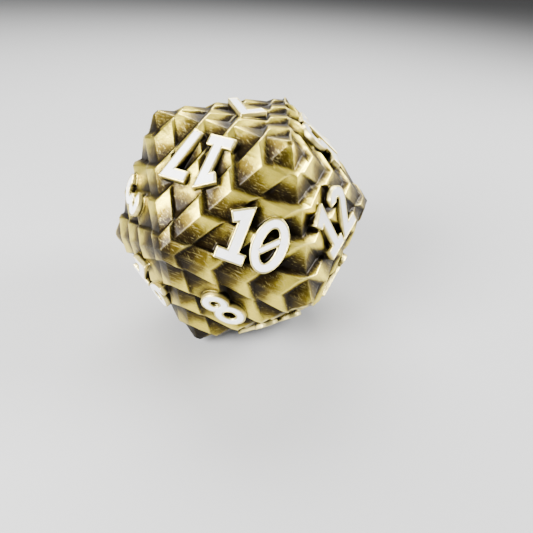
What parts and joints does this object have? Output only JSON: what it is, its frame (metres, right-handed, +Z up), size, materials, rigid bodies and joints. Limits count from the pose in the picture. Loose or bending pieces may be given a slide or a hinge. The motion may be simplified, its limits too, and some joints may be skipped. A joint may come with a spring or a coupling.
{
  "type": "twenty-sided die",
  "caption": "Metal twenty-sided die covered in overlapping dragon scales, with raised numerals filled with white enamel",
  "frame": {"origin": "on the table straight below the middle of the die", "axes": "+Z up through face 7, with face 14 on the table; the front, -Y, is the side of the edge between faces 10 and 12"},
  "size_m": [0.0226, 0.0252, 0.022],
  "materials": {
    "antique_brass": "brushed, darkened in the recesses and rubbed bright on the edges",
    "white_enamel": "gloss"
  },
  "bodies": {
    "root": {"die_body": "antique_brass", "enamel_01": "white_enamel", "enamel_02": "white_enamel", "enamel_03": "white_enamel", "enamel_04": "white_enamel", "enamel_05": "white_enamel", "enamel_06": "white_enamel", "enamel_07": "white_enamel", "enamel_08": "white_enamel", "enamel_09": "white_enamel", "enamel_10": "white_enamel", "enamel_11": "white_enamel", "enamel_12": "white_enamel", "enamel_13": "white_enamel", "enamel_14": "white_enamel", "enamel_15": "white_enamel", "enamel_16": "white_enamel", "enamel_17": "white_enamel", "enamel_18": "white_enamel", "enamel_19": "white_enamel", "enamel_20": "white_enamel"}
  },
  "joints": []
}
